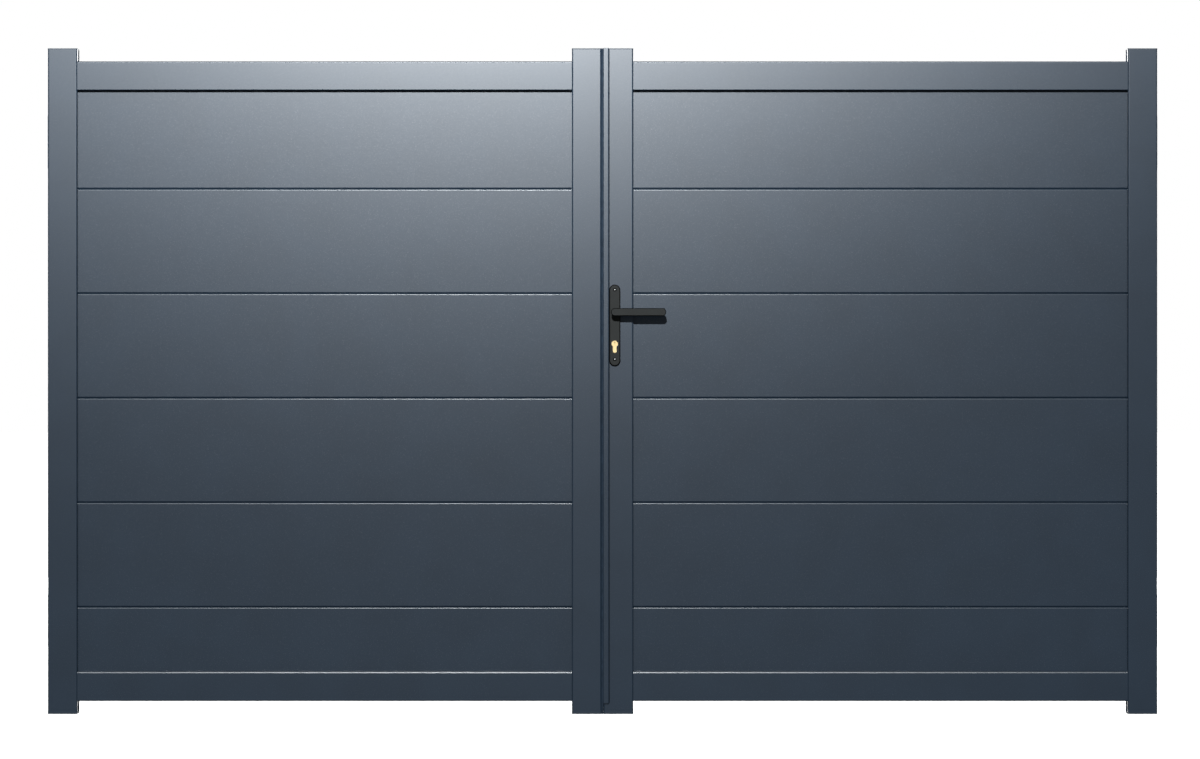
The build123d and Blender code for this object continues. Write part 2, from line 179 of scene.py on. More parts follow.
class Finish:
    """A procedural material under construction, read in the object's own coordinates."""

    def __init__(self, name, colour, roughness, metallic=0.0, shine=0.5):
        self.material = bpy.data.materials.new(name)
        self.material.use_nodes = True
        self.nodes = self.material.node_tree.nodes
        self.links = self.material.node_tree.links
        self.shader = self.nodes["Principled BSDF"]
        self.colour = colour
        self.roughness = roughness
        self.shader.inputs["Base Color"].default_value = (*colour, 1)
        self.shader.inputs["Roughness"].default_value = roughness
        self.shader.inputs["Metallic"].default_value = metallic
        self.shader.inputs["Specular IOR Level"].default_value = shine
        self.place = self.nodes.new("ShaderNodeTexCoord").outputs["Object"]
        self.relief = None
        self.material.diffuse_color = (*colour, 1)

    def grain(self, width, stretch=(1, 1, 1), detail=3.0):
        """Noise whose spots are about width across, drawn out along the axes by stretch."""
        mapping = self.nodes.new("ShaderNodeMapping")
        mapping.inputs["Scale"].default_value = [1 / s for s in stretch]
        self.links.new(self.place, mapping.inputs["Vector"])
        noise = self.nodes.new("ShaderNodeTexNoise")
        noise.inputs["Scale"].default_value = 0.5 / width
        noise.inputs["Detail"].default_value = detail
        self.links.new(mapping.outputs["Vector"], noise.inputs["Vector"])
        return noise.outputs["Fac"]

    def between(self, factor, low, high, start=0.3, end=0.7):
        """A number that runs from low to high as factor runs from start to end."""
        ramp = self.nodes.new("ShaderNodeMapRange")
        ramp.inputs["From Min"].default_value = start
        ramp.inputs["From Max"].default_value = end
        ramp.inputs["To Min"].default_value = low
        ramp.inputs["To Max"].default_value = high
        self.links.new(factor, ramp.inputs["Value"])
        return ramp.outputs["Result"]

    def shade(self, factor, amount):
        """Lets the colour wander by amount of itself."""
        mix = self.nodes.new("ShaderNodeMix")
        mix.data_type = "RGBA"
        mix.inputs["A"].default_value = [c * (1 - amount) for c in self.colour] + [1]
        mix.inputs["B"].default_value = [min(1, c * (1 + amount)) for c in self.colour] + [1]
        self.links.new(self.between(factor, 0, 1), mix.inputs["Factor"])
        self.links.new(mix.outputs["Result"], self.shader.inputs["Base Color"])
        return self

    def gloss(self, factor, amount):
        """Lets the roughness wander by amount either way."""
        low, high = self.roughness - amount, self.roughness + amount
        self.links.new(self.between(factor, low, high), self.shader.inputs["Roughness"])
        return self

    def bump(self, factor, height):
        """Adds relief of that height in metres on top of any relief so far."""
        bump = self.nodes.new("ShaderNodeBump")
        bump.inputs["Distance"].default_value = height
        self.links.new(factor, bump.inputs["Height"])
        if self.relief is not None:
            self.links.new(self.relief, bump.inputs["Normal"])
        self.relief = bump.outputs["Normal"]
        self.links.new(self.relief, self.shader.inputs["Normal"])
        return self

    def band(self, axis, middle, reach, fade):
        """1 within reach of a place on an axis, falling to 0 over fade."""
        parts = self.nodes.new("ShaderNodeSeparateXYZ")
        self.links.new(self.place, parts.inputs["Vector"])
        away = self.nodes.new("ShaderNodeMath")
        away.operation = "SUBTRACT"
        away.inputs[1].default_value = middle
        self.links.new(parts.outputs[axis], away.inputs[0])
        gap = self.nodes.new("ShaderNodeMath")
        gap.operation = "ABSOLUTE"
        self.links.new(away.outputs[0], gap.inputs[0])
        return self.between(gap.outputs[0], 1, 0, start=reach, end=reach + fade)

    def both(self, first, second):
        """1 only where both factors are 1."""
        product = self.nodes.new("ShaderNodeMath")
        product.operation = "MULTIPLY"
        self.links.new(first, product.inputs[0])
        self.links.new(second, product.inputs[1])
        return product.outputs[0]

    def varnish(self, factor, roughness, ior):
        """A clear layer where factor is 1."""
        self.shader.inputs["Coat Roughness"].default_value = roughness
        self.shader.inputs["Coat IOR"].default_value = ior
        self.links.new(factor, self.shader.inputs["Coat Weight"])
        return self

    def dull(self, factor, amount):
        """Adds that much roughness where factor is 1."""
        socket = self.shader.inputs["Roughness"]
        total = self.nodes.new("ShaderNodeMath")
        self.links.new(socket.links[0].from_socket, total.inputs[0])
        self.links.new(self.between(factor, 0, amount, start=0, end=1), total.inputs[1])
        self.links.new(total.outputs[0], socket)
        return self

    def paint_shade(self, factor, rest):
        """Paints shade: leaves only the rest of the colour and of the shine where factor is 1."""
        socket = self.shader.inputs["Base Color"]
        mix = self.nodes.new("ShaderNodeMix")
        mix.data_type = "RGBA"
        self.links.new(socket.links[0].from_socket, mix.inputs["A"])
        mix.inputs["B"].default_value = [c * rest for c in self.colour] + [1]
        self.links.new(factor, mix.inputs["Factor"])
        self.links.new(mix.outputs["Result"], socket)
        level = self.shader.inputs["Specular IOR Level"]
        self.links.new(self.between(factor, level.default_value, rest * level.default_value, 0, 1), level)
        return self


def powder_coat(name, run):
    """Satin anthracite coat: orange peel, faint mottle and the extrusion's draw lines along run."""
    looks = settings()[0]
    coat = Finish(name, looks.coat_colour, looks.coat_roughness)
    peel = coat.grain(looks.coat_peel, detail=2)
    drawn = coat.grain(0.002, stretch=run, detail=2)
    coat.shade(coat.grain(0.06, detail=4), looks.coat_mottle).gloss(peel, 0.02)
    return coat.bump(drawn, 3e-6).bump(peel, 6e-6)


def rail_coat():
    """The rails' coat: the top one dull above and with painted shade below, the low one bright along its front
    edge.
    """
    coat = powder_coat("anthracite coat, drawn lengthwise", ALONG_X)
    rim, fade = 4 * MM, 0.5 * MM
    low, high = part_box("left_top_rail")
    coat.dull(coat.band("Z", high.z, rim, fade), 0.08)
    # Painted shade: just under the top rail's lower edge the colour and shine drop to a tenth, standing in for
    # the rail's shadow on the boards.
    coat.paint_shade(coat.band("Z", low.z, 2.5 * MM, 1 * MM), 0.1)
    low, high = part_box("left_bottom_rail")
    edge = coat.both(coat.band("Z", high.z, rim, fade), coat.band("Y", low.y, rim, fade))
    return coat.varnish(edge, roughness=0.34, ior=1.78).material


def lock_stile_coat():
    """The coat of the stile that carries the strip, with a line of painted shade beside the strip on the front
    face.
    """
    coat = powder_coat("anthracite coat, shaded beside the strip", ALONG_Z)
    low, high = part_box("meeting_strip")
    line = coat.band("X", high.x + 0.8 * MM, 0.9 * MM, 0.6 * MM)
    run = coat.band("Z", (low.z + high.z) / 2, (high.z - low.z) / 2, 0.6 * MM)
    front = coat.band("Y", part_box("right_meeting_stile")[0].y, 3 * MM, 1 * MM)
    # Painted shade: a thin line beside the strip on the front face keeps 0.35 of the colour and shine, standing
    # in for the strip's shadow.
    return coat.paint_shade(coat.both(line, coat.both(run, front)), 0.35).material


def cap_plastic():
    """Moulded anthracite plastic, a little duller than the coat, with a spark-eroded grain."""
    looks = settings()[0]
    plastic = Finish("anthracite cap plastic", looks.cap_colour, 0.5)
    spark = plastic.grain(0.0005, detail=2)
    plastic.shade(plastic.grain(0.02), 0.08).gloss(spark, 0.08).bump(spark, 25e-6)
    return plastic.material


def satin_black(name, face_y):
    """Satin black coat with a fine dry grain, and painted shade everywhere off the flat face that hands touch.
    """
    looks = settings()[0]
    black = Finish(name, looks.handle_colour, 0.6, shine=0.2)
    dust = black.grain(0.0004, detail=3)
    black.shade(black.grain(0.015), 0.12).gloss(dust, 0.05).bump(dust, 8e-6)
    flat_face = black.band("Y", face_y, 0.3 * MM, 0.4 * MM)
    # Painted shade: off the flat face only 0.15 of the colour and shine is left, darkening the countersinks,
    # edges and sides.
    return black.paint_shade(black.between(flat_face, 1, 0, start=0, end=1), 0.15).material


def hinge_black():
    """Coarser black coat on the welded hinge irons."""
    looks = settings()[0]
    black = Finish("black hinge coat", looks.hinge_colour, 0.48)
    pits = black.grain(0.0012, detail=4)
    black.shade(black.grain(0.02), 0.2).gloss(pits, 0.08).bump(pits, 30e-6)
    return black.material


def seal_rubber():
    """Matt dark rubber with faint draw lines along the seal."""
    looks = settings()[0]
    rubber = Finish("seal rubber", looks.rubber_colour, 0.75, shine=0.12)
    drawn = rubber.grain(0.0006, stretch=(1, 1, 60), detail=2)
    rubber.shade(rubber.grain(0.01), 0.25).gloss(drawn, 0.06).bump(drawn, 20e-6)
    return rubber.material


def brushed_steel(name, run, roughness=0.32):
    """Bare steel, brushed along run."""
    looks = settings()[0]
    steel = Finish(name, looks.steel_colour, roughness, metallic=1.0)
    brushed = steel.grain(0.00035, stretch=run, detail=3)
    steel.shade(steel.grain(0.012), 0.08).gloss(brushed, 0.08).bump(brushed, 6e-6)
    return steel.material


def turned_brass():
    """Satin brass, fine-turned, with a slightly darker bloom in places."""
    looks = settings()[0]
    brass = Finish("cylinder brass", looks.brass_colour, 0.7, metallic=1.0)
    fine = brass.grain(0.00025, stretch=(1, 1, 8), detail=3)
    brass.shade(brass.grain(0.006), 0.07).gloss(fine, 0.06).bump(fine, 4e-6)
    return brass.material


def dress(node, material):
    """Gives a construction node its finish."""
    mesh = frame["nodes"][node].data
    mesh.materials.clear()
    mesh.materials.append(material)


# Meshes

def merged_copy(node):
    """The node's mesh as a closed bmesh, with its flat faces joined up."""
    form = bmesh.new()
    form.from_mesh(frame["nodes"][node].data)
    bmesh.ops.remove_doubles(form, verts=form.verts, dist=1e-6)
    bmesh.ops.dissolve_limit(form, angle_limit=math.radians(0.5), verts=form.verts, edges=form.edges)
    return form


def placed_object(name, form):
    """A new object at the origin that holds the bmesh."""
    mesh = bpy.data.meshes.new(name)
    form.to_mesh(mesh)
    form.free()
    piece = bpy.data.objects.new(name, mesh)
    bpy.context.scene.collection.objects.link(piece)
    return piece


def baked(piece):
    """Replaces a piece's mesh by its evaluated one and clears its modifiers."""
    graph = bpy.context.evaluated_depsgraph_get()
    mesh = bpy.data.meshes.new_from_object(piece.evaluated_get(graph))
    piece.modifiers.clear()
    piece.data = mesh
    mesh.name = piece.name
    if not mesh.polygons:
        raise RuntimeError(f"{piece.name} came out empty")
    return piece


def rounded(piece, width, degrees=28, segments=3):
    """Rounds a piece's edges that are sharper than degrees."""
    bevel = piece.modifiers.new("rounding", "BEVEL")
    bevel.width = width
    bevel.segments = segments
    bevel.limit_method = "ANGLE"
    bevel.angle_limit = math.radians(degrees)
    return baked(piece)


def carved(piece, cutter):
    """Cuts the cutter out of a piece and deletes it."""
    cut = piece.modifiers.new("cut", "BOOLEAN")
    cut.operation = "DIFFERENCE"
    cut.solver = "EXACT"
    cut.object = cutter
    baked(piece)
    bpy.data.objects.remove(cutter)
    return piece


def smoothed(piece, degrees=32):
    """Shades a piece smooth with flat faces kept flat, apart from edges sharper than degrees."""
    piece.data.shade_smooth()
    piece.data.set_sharp_from_angle(angle=math.radians(degrees))
    weigh = piece.modifiers.new("flat faces", "WEIGHTED_NORMAL")
    weigh.keep_sharp = True
    return baked(piece)


def rounded_copy(name, node, width, segments=3):
    """A smooth copy of a node with its edges rounded."""
    return smoothed(rounded(placed_object(name, merged_copy(node)), width, segments=segments))


def finished(piece, body, slot, material, *nodes):
    """Gives a piece its material and its body, and hides the nodes that it stands for."""
    piece.data.materials.clear()
    piece.data.materials.append(material)
    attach(piece, body)
    if nodes:
        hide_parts(*nodes)
    return piece


def facing_frame(point, facing):
    """A frame at a point whose Z looks along facing."""
    return Matrix.Translation(point) @ facing.to_track_quat("Z", "Y").to_matrix().to_4x4()


def outer_y(node, face):
    """Where a node of the handle set ends on that face of the gate."""
    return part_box(node)[0 if face == "front" else 1].y


def leaf_nodes(side):
    """The construction nodes of one leaf."""
    return frame["record"]["behaviour"]["bodies"][f"{side}_leaf"]


# Geometry node trees

class Tree:
    """A geometry node tree with named inputs that ends in Realize Instances and Set Material."""

    def __init__(self, name):
        self.tree = bpy.data.node_groups.new(name, "GeometryNodeTree")
        self.tree.interface.new_socket("Geometry", in_out="INPUT", socket_type="NodeSocketGeometry")
        self.tree.interface.new_socket("Geometry", in_out="OUTPUT", socket_type="NodeSocketGeometry")
        self.inside = self.tree.nodes.new("NodeGroupInput")

    def ask(self, name, kind):
        """Adds a named input and gives its socket."""
        self.tree.interface.new_socket(name, in_out="INPUT", socket_type=f"NodeSocket{kind}")
        return self.inside.outputs[name]

    def node(self, kind, inputs=None, **options):
        """Adds a node, sets its options and joins or fills its inputs."""
        made = self.tree.nodes.new(kind)
        for option, value in options.items():
            setattr(made, option, value)
        for key, value in (inputs or {}).items():
            if isinstance(value, bpy.types.NodeSocket):
                self.tree.links.new(value, made.inputs[key])
            else:
                made.inputs[key].default_value = value
        return made

    def math(self, operation, first, second):
        """The result of an operation on two numbers."""
        return self.node("ShaderNodeMath", {0: first, 1: second}, operation=operation).outputs[0]

    def close(self, instances):
        """Realizes the instances, sets their material and ends the tree."""
        material = self.ask("Material", "Material")
        real = self.node("GeometryNodeRealizeInstances", {"Geometry": instances}).outputs["Geometry"]
        painted = self.node("GeometryNodeSetMaterial", {"Geometry": real, "Material": material})
        self.node("NodeGroupOutput", {"Geometry": painted.outputs["Geometry"]})
        return self.tree


def screw_tree():
    """Domed heads with a hexagon socket on every point, along its facing and turned at random."""
    tree = Tree("screw heads")
    width = tree.ask("Head Diameter", "Float")
    dome = tree.ask("Dome Height", "Float")
    socket = tree.ask("Socket Width", "Float")
    depth = tree.ask("Socket Depth", "Float")
    seed = tree.ask("Seed", "Int")
    radius = tree.math("DIVIDE", width, 2.0)
    ball = tree.node("GeometryNodeMeshUVSphere", {"Segments": 32, "Rings": 16, "Radius": radius})
    squash = tree.node("ShaderNodeCombineXYZ", {"X": 1.0, "Y": 1.0, "Z": tree.math("DIVIDE", dome, radius)})
    head = tree.node(
        "GeometryNodeTransform", {"Geometry": ball.outputs["Mesh"], "Scale": squash.outputs["Vector"]}
    )
    key = tree.node(
        "GeometryNodeMeshCylinder",
        {"Vertices": 6, "Radius": tree.math("DIVIDE", socket, 2.0), "Depth": tree.math("MULTIPLY", depth, 2.0)},
    )
    lift = tree.node("ShaderNodeCombineXYZ", {"Z": dome})
    raised = tree.node(
        "GeometryNodeTransform", {"Geometry": key.outputs["Mesh"], "Translation": lift.outputs["Vector"]}
    )
    cut = tree.node("GeometryNodeMeshBoolean", operation="DIFFERENCE", solver="EXACT")
    tree.tree.links.new(head.outputs["Geometry"], cut.inputs["Mesh 1"])
    tree.tree.links.new(raised.outputs["Geometry"], cut.inputs["Mesh 2"])
    facing = tree.node("GeometryNodeInputNamedAttribute", {"Name": "facing"}, data_type="FLOAT_VECTOR")
    scale = tree.node("GeometryNodeInputNamedAttribute", {"Name": "head_scale"}, data_type="FLOAT")
    aligned = tree.node(
        "FunctionNodeAlignRotationToVector", {"Vector": facing.outputs["Attribute"]}, axis="Z"
    )
    turn = tree.node("FunctionNodeRandomValue", data_type="FLOAT")
    turn.inputs[2].default_value, turn.inputs[3].default_value = 0.0, 2 * math.pi
    tree.tree.links.new(seed, turn.inputs["Seed"])
    spin = tree.node("FunctionNodeAxisAngleToRotation", {"Axis": (0, 0, 1), "Angle": turn.outputs[1]})
    spun = tree.node(
        "FunctionNodeRotateRotation",
        {"Rotation": aligned.outputs["Rotation"], "Rotate By": spin.outputs["Rotation"]},
        rotation_space="LOCAL",
    )
    heads = tree.node(
        "GeometryNodeInstanceOnPoints",
        {
            "Points": tree.inside.outputs["Geometry"],
            "Instance": cut.outputs["Mesh"],
            "Rotation": spun.outputs["Rotation"],
            "Scale": scale.outputs["Attribute"],
        },
    )
    return tree.close(heads.outputs["Instances"])


def weld_tree():
    """Overlapping flat ripples along every line."""
    tree = Tree("weld beads")
    radius = tree.ask("Bead Radius", "Float")
    step = tree.ask("Step", "Float")
    lines = tree.node("GeometryNodeMeshToCurve", {"Mesh": tree.inside.outputs["Geometry"]})
    even = tree.node(
        "GeometryNodeResampleCurve", {"Curve": lines.outputs["Curve"], "Length": step}, mode="LENGTH"
    )
    ripple = tree.node("GeometryNodeMeshUVSphere", {"Segments": 12, "Rings": 8, "Radius": radius})
    squash = tree.node("GeometryNodeTransform", {"Geometry": ripple.outputs["Mesh"], "Scale": (1, 1, 0.6)})
    soft = tree.node("GeometryNodeSetShadeSmooth", {"Geometry": squash.outputs["Geometry"]})
    along = tree.node("GeometryNodeInputTangent")
    aligned = tree.node(
        "FunctionNodeAlignRotationToVector", {"Vector": along.outputs["Tangent"]}, axis="Z"
    )
    beads = tree.node(
        "GeometryNodeInstanceOnPoints",
        {
            "Points": even.outputs["Curve"],
            "Instance": soft.outputs["Geometry"],
            "Rotation": aligned.outputs["Rotation"],
        },
    )
    return tree.close(beads.outputs["Instances"])


def grown(piece, tree, values):
    """Runs a geometry node tree on a piece with the named input values and keeps the plain mesh."""
    grow = piece.modifiers.new(tree.name, "NODES")
    grow.node_group = tree
    for item in tree.interface.items_tree:
        if item.in_out == "INPUT" and item.name in values:
            grow[item.identifier] = values[item.name]
    return baked(piece)


# Operators

class GATE_OT_coat_bars(bpy.types.Operator):
    """Coat the stiles, the rails and the meeting strip"""

    bl_idname = "gate.coat_bars"
    bl_label = "Coat Bars"

    def execute(self, context):
        upright = powder_coat("anthracite coat, drawn upright", ALONG_Z).material
        lengthwise, strip_shaded = rail_coat(), lock_stile_coat()
        for side in SIDES:
            for node in leaf_nodes(side):
                if node.endswith(("_stile", "_rail")) or node == "meeting_strip":
                    bar = smoothed(placed_object(f"{node}_coated", merged_copy(node)))
                    if node.endswith("_rail"):
                        coat = lengthwise
                    else:
                        # The right meeting stile takes the coat with painted shade beside the strip.
                        coat = strip_shaded if node == "right_meeting_stile" else upright
                    finished(bar, f"{side}_leaf", "anthracite_aluminium", coat, node)
        return {"FINISHED"}


class GATE_OT_coat_boards(bpy.types.Operator):
    """Coat the boards and round their seam edges"""

    bl_idname = "gate.coat_boards"
    bl_label = "Coat Boards"

    def execute(self, context):
        hardware = settings()[1]
        coat = powder_coat("anthracite board coat, drawn lengthwise", ALONG_X).material
        for side in SIDES:
            for node in leaf_nodes(side):
                if "_board_" in node:
                    board = smoothed(placed_object(f"{node}_coated", self.round_seams(node, hardware)))
                    finished(board, f"{side}_leaf", "anthracite_aluminium", coat, node)
        return {"FINISHED"}

    def round_seams(self, node, hardware):
        """The board with its upper edges drawn up into the seam, and rounded at every seam."""
        form = merged_copy(node)
        low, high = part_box(node)
        seams = [
            edge for edge in form.edges
            if edge.calc_length() > 0.9 * (high.x - low.x)
            and all(min(v.co.y - low.y, high.y - v.co.y) < 1e-5 for v in edge.verts)
            and abs(edge.calc_face_angle(0) - math.pi / 4) < 0.1
        ]
        if not seams:
            raise RuntimeError(f"{node} has no seam edges")
        lips = [edge for edge in seams if max(face.normal.z for face in edge.link_faces) > 0.5]
        inward = (low.y + high.y) / 2
        for edge in lips:
            chamfer = max(edge.link_faces, key=lambda face: face.normal.z)
            outer = set(edge.verts)
            for vert in chamfer.verts:
                if vert in outer:
                    vert.co.z += hardware.lip_rise
                else:
                    vert.co.y += math.copysign(hardware.lip_rise, vert.co.y - inward)
        sills = [edge for edge in seams if edge not in lips]
        for edges, width in ((lips, hardware.lip_round), (sills, hardware.seam_round)):
            if edges:
                bmesh.ops.bevel(form, geom=edges, offset=width, segments=5, profile=0.5, affect="EDGES")
        return form


class GATE_OT_cap_stiles(bpy.types.Operator):
    """Put round-edged caps on the stiles"""

    bl_idname = "gate.cap_stiles"
    bl_label = "Cap Stiles"

    def execute(self, context):
        width = settings()[1].cap_round
        plastic = cap_plastic()
        for side in SIDES:
            node = f"{side}_stile_caps"
            caps = rounded_copy(f"{side}_round_caps", node, width)
            finished(caps, f"{side}_leaf", "anthracite_plastic", plastic, node)
        return {"FINISHED"}


def plate_screws(face):
    """Where a handle plate's two screws enter its face."""
    hardware = settings()[1]
    low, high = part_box(f"{face}_handle_plate")
    x, y = (low.x + high.x) / 2, outer_y(f"{face}_handle_plate", face)
    return [
        Vector((x, y, high.z - hardware.upper_screw_inset)),
        Vector((x, y, low.z + hardware.lower_screw_inset)),
    ]


class GATE_OT_fit_handle(bpy.types.Operator):
    """Fit the handle plates and levers on both faces"""

    bl_idname = "gate.fit_handle"
    bl_label = "Fit Handle"

    def execute(self, context):
        hardware = settings()[1]
        for face in FACES:
            node = f"{face}_handle_plate"
            black = satin_black(f"satin black {face} plate", outer_y(node, face))
            plate = rounded(placed_object(f"{face}_screw_plate", merged_copy(node)), hardware.plate_round)
            smoothed(carved(plate, self.screw_sinks(face, hardware)))
            finished(plate, "right_leaf", "black_aluminium", black, node)
            node = f"{face}_lever"
            lever = rounded_copy(f"{face}_round_lever", node, hardware.lever_round)
            black = satin_black(f"satin black {face} lever", outer_y(node, face))
            finished(lever, "lever_set", "black_aluminium", black, node)
        return {"FINISHED"}

    def screw_sinks(self, face, hardware):
        """Cutter for the two countersunk holes of a handle plate."""
        form = bmesh.new()
        mouth, floor = hardware.sink_diameter / 2, hardware.sink_floor / 2
        for point in plate_screws(face):
            bmesh.ops.create_cone(
                form, cap_ends=True, segments=32, radius1=floor, radius2=2 * mouth - floor,
                depth=2 * hardware.sink_depth, matrix=facing_frame(point, FACES[face]),
            )
        return placed_object("screw_sinks", form)


class GATE_OT_fit_cylinder(bpy.types.Operator):
    """Fit the brass profile cylinder with its turning plugs"""

    bl_idname = "gate.fit_cylinder"
    bl_label = "Fit Cylinder"

    def execute(self, context):
        hardware = settings()[1]
        cylinder = placed_object("brass_cylinder", merged_copy("lock_cylinder"))
        carved(cylinder, self.plug_grooves(hardware))
        smoothed(rounded(cylinder, hardware.lock_round, degrees=40, segments=2))
        finished(cylinder, "right_leaf", "brass", turned_brass(), "lock_cylinder")
        return {"FINISHED"}

    def plug_grooves(self, hardware):
        """Cutter rings that part the turning plugs from the cylinder's two faces."""
        low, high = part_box("lock_cylinder")
        radius = (high.x - low.x) / 2
        inner = hardware.plug_diameter / 2
        outer = inner + hardware.plug_gap
        form = bmesh.new()
        for face, y in (("front", low.y), ("back", high.y)):
            middle = Vector(((low.x + high.x) / 2, y, high.z - radius))
            self.add_ring(form, inner, outer, hardware.plug_gap, facing_frame(middle, FACES[face]))
        bmesh.ops.recalc_face_normals(form, faces=form.faces)
        return placed_object("plug_grooves", form)

    def add_ring(self, form, inner, outer, depth, matrix, steps=48):
        """Adds a square-sectioned ring about the matrix's Z axis, half sunk in its XY plane."""
        loops = []
        for step in range(steps):
            turn = 2 * math.pi * step / steps
            way = Vector((math.cos(turn), math.sin(turn), 0))
            corners = [(inner, -depth), (outer, -depth), (outer, depth), (inner, depth)]
            loops.append([form.verts.new(matrix @ (way * r + Vector((0, 0, z)))) for r, z in corners])
        for step, loop in enumerate(loops):
            following = loops[(step + 1) % steps]
            for i in range(4):
                j = (i + 1) % 4
                form.faces.new((loop[i], loop[j], following[j], following[i]))


class GATE_OT_finish_lock(bpy.types.Operator):
    """Finish the lock's steel plates, bolts, case and spindle, and the seal"""

    bl_idname = "gate.finish_lock"
    bl_label = "Finish Lock"

    def execute(self, context):
        width = settings()[1].lock_round
        upright = brushed_steel("lock steel, brushed upright", (1, 1, 40))
        for node, body in (
            ("strike_plate", "left_leaf"), ("lock_faceplate", "right_leaf"), ("lock_bolts", "right_leaf")
        ):
            piece = rounded_copy(f"{node}_brushed", node, width, segments=2)
            finished(piece, body, "plain_steel", upright, node)
        dress("lock_case", upright)
        dress("lever_spindle", brushed_steel("spindle steel, drawn", (1, 40, 1)))
        seal = smoothed(placed_object("meeting_seal_soft", self.reaching_seal()))
        finished(seal, "left_leaf", "black_rubber", seal_rubber(), "meeting_seal")
        return {"FINISHED"}

    def reaching_seal(self):
        """The seal with its soft lip drawn out until it all but touches the other leaf."""
        form = merged_copy("meeting_seal")
        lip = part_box("meeting_seal")[1].x
        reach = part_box("right_meeting_stile")[0].x - 0.05 * MM - lip
        for vert in form.verts:
            if lip - vert.co.x < 1e-5:
                vert.co.x += reach
        return form


class GATE_OT_finish_hinges(bpy.types.Operator):
    """Finish the hinge irons and weld them up"""

    bl_idname = "gate.finish_hinges"
    bl_label = "Finish Hinges"

    def execute(self, context):
        hardware = settings()[1]
        black = hinge_black()
        tree = weld_tree()
        values = {"Bead Radius": hardware.bead_radius, "Step": hardware.bead_step, "Material": black}
        fixed_lines = []
        for side, out in SIDES.items():
            leaf_lines = []
            for level, up in LEVELS.items():
                bracket, eye = f"{level}_{side}_hinge_bracket", f"{level}_{side}_hinge_eye"
                for node, body in ((bracket, "pillar_fixings"), (eye, f"{side}_leaf")):
                    iron = rounded_copy(f"{node}_coated", node, hardware.iron_round, segments=2)
                    finished(iron, body, "black_steel", black, node)
                fixed_lines += self.lug_lines(bracket, eye, out)
                leaf_lines += self.neck_lines(eye, out, up)
            welds = grown(self.lines_object(f"{side}_eye_welds", leaf_lines), tree, values)
            finished(welds, f"{side}_leaf", "black_steel", black)
        welds = grown(self.lines_object("lug_welds", fixed_lines), tree, values)
        finished(welds, "pillar_fixings", "black_steel", black)
        return {"FINISHED"}

    def lug_lines(self, bracket, eye, out):
        """Where a lug's two flat sides meet its pillar plate."""
        half_lug, half_weld = 4 * MM, 10 * MM
        low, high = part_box(bracket)
        x = high.x - HINGE_PLATE if out > 0 else low.x + HINGE_PLATE
        axis_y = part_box(eye)[1].y - EYE_RADIUS
        seat = (low.z + high.z) / 2
        return [
            (Vector((x, axis_y - half_weld, z)), Vector((x, axis_y + half_weld, z)))
            for z in (seat - half_lug, seat + half_lug)
        ]

    def neck_lines(self, eye, out, up):
        """Where an eye's neck meets its leaf plate."""
        inset, neck_width, neck_start, neck_height, stop = 5 * MM, 16 * MM, 8 * MM, 36 * MM, 2 * MM
        low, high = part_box(eye)
        y = low.y + HINGE_PLATE
        outer_x = high.x - inset if out > 0 else low.x + inset
        side_x = outer_x - out * neck_width
        start = (low.z if up > 0 else high.z) + up * neck_start
        end = start + up * neck_height
        return [
            (Vector((side_x, y, start)), Vector((side_x, y, end))),
            (Vector((side_x, y, end)), Vector((outer_x - out * stop, y, end))),
        ]

    def lines_object(self, name, lines):
        """An object of separate straight lines."""
        form = bmesh.new()
        for start, end in lines:
            form.edges.new((form.verts.new(start), form.verts.new(end)))
        return placed_object(name, form)


class GATE_OT_drive_screws(bpy.types.Operator):
    """Drive the screws of the handle plates, lock plates and hinges"""

    bl_idname = "gate.drive_screws"
    bl_label = "Drive Screws"

    def execute(self, context):
        hardware = settings()[1]
        steel = brushed_steel("screw steel", (1, 1, 1), roughness=0.3)
        tree = screw_tree()
        values = {
            "Head Diameter": hardware.head_diameter,
            "Dome Height": hardware.head_dome,
            "Socket Width": hardware.socket_width,
            "Socket Depth": hardware.socket_depth,
            "Seed": hardware.seed,
            "Material": steel,
        }
        for side, out in SIDES.items():
            spots = []
            for level, up in LEVELS.items():
                spots += self.hinge_spots(f"{level}_{side}_hinge_eye", out, up)
            spots += self.lock_spots("strike_plate" if side == "left" else "lock_faceplate", out)
            if side == "right":
                spots += self.handle_spots()
            screws = grown(self.spots_object(f"{side}_screws", spots), tree, values)
            finished(screws, f"{side}_leaf", "plain_steel", steel)
        return {"FINISHED"}

    def hinge_spots(self, eye, out, up):
        """Four screws on the free part of an eye's leaf plate."""
        near, far, rise, plate_shift = 11 * MM, 33 * MM, 43 * MM, 3 * MM
        low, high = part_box(eye)
        x = low.x if out > 0 else high.x
        y = low.y + HINGE_PLATE
        z = (low.z + high.z) / 2 + up * plate_shift
        return [
            (Vector((x + out * across, y, z + along)), FACES["back"], 1.0)
            for across, along in ((near, -rise), (near, rise), (far, up * rise), (near, 0))
        ]

    def lock_spots(self, node, out):
        """The flush screws at both ends of a lock plate."""
        sunk, end_inset, scale = 1.2 * MM, 13 * MM, 0.6
        low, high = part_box(node)
        facing = Vector((-out, 0, 0))
        x = (low.x if out > 0 else high.x) + out * sunk
        y = (low.y + high.y) / 2
        return [(Vector((x, y, z)), facing, scale) for z in (low.z + end_inset, high.z - end_inset)]

    def handle_spots(self):
        """The sunk screws of both handle plates."""
        sunk, scale = 2.4 * MM, 0.45
        return [
            (point - facing * sunk, facing, scale)
            for face, facing in FACES.items() for point in plate_screws(face)
        ]

    def spots_object(self, name, spots):
        """An object of points with their facing and scale."""
        form = bmesh.new()
        for point, _, _ in spots:
            form.verts.new(point)
        holder = placed_object(name, form)
        named = holder.data.attributes
        named.new("facing", "FLOAT_VECTOR", "POINT")
        named.new("head_scale", "FLOAT", "POINT")
        for i, (_, facing, scale) in enumerate(spots):
            named["facing"].data[i].vector = facing
            named["head_scale"].data[i].value = scale
        return holder


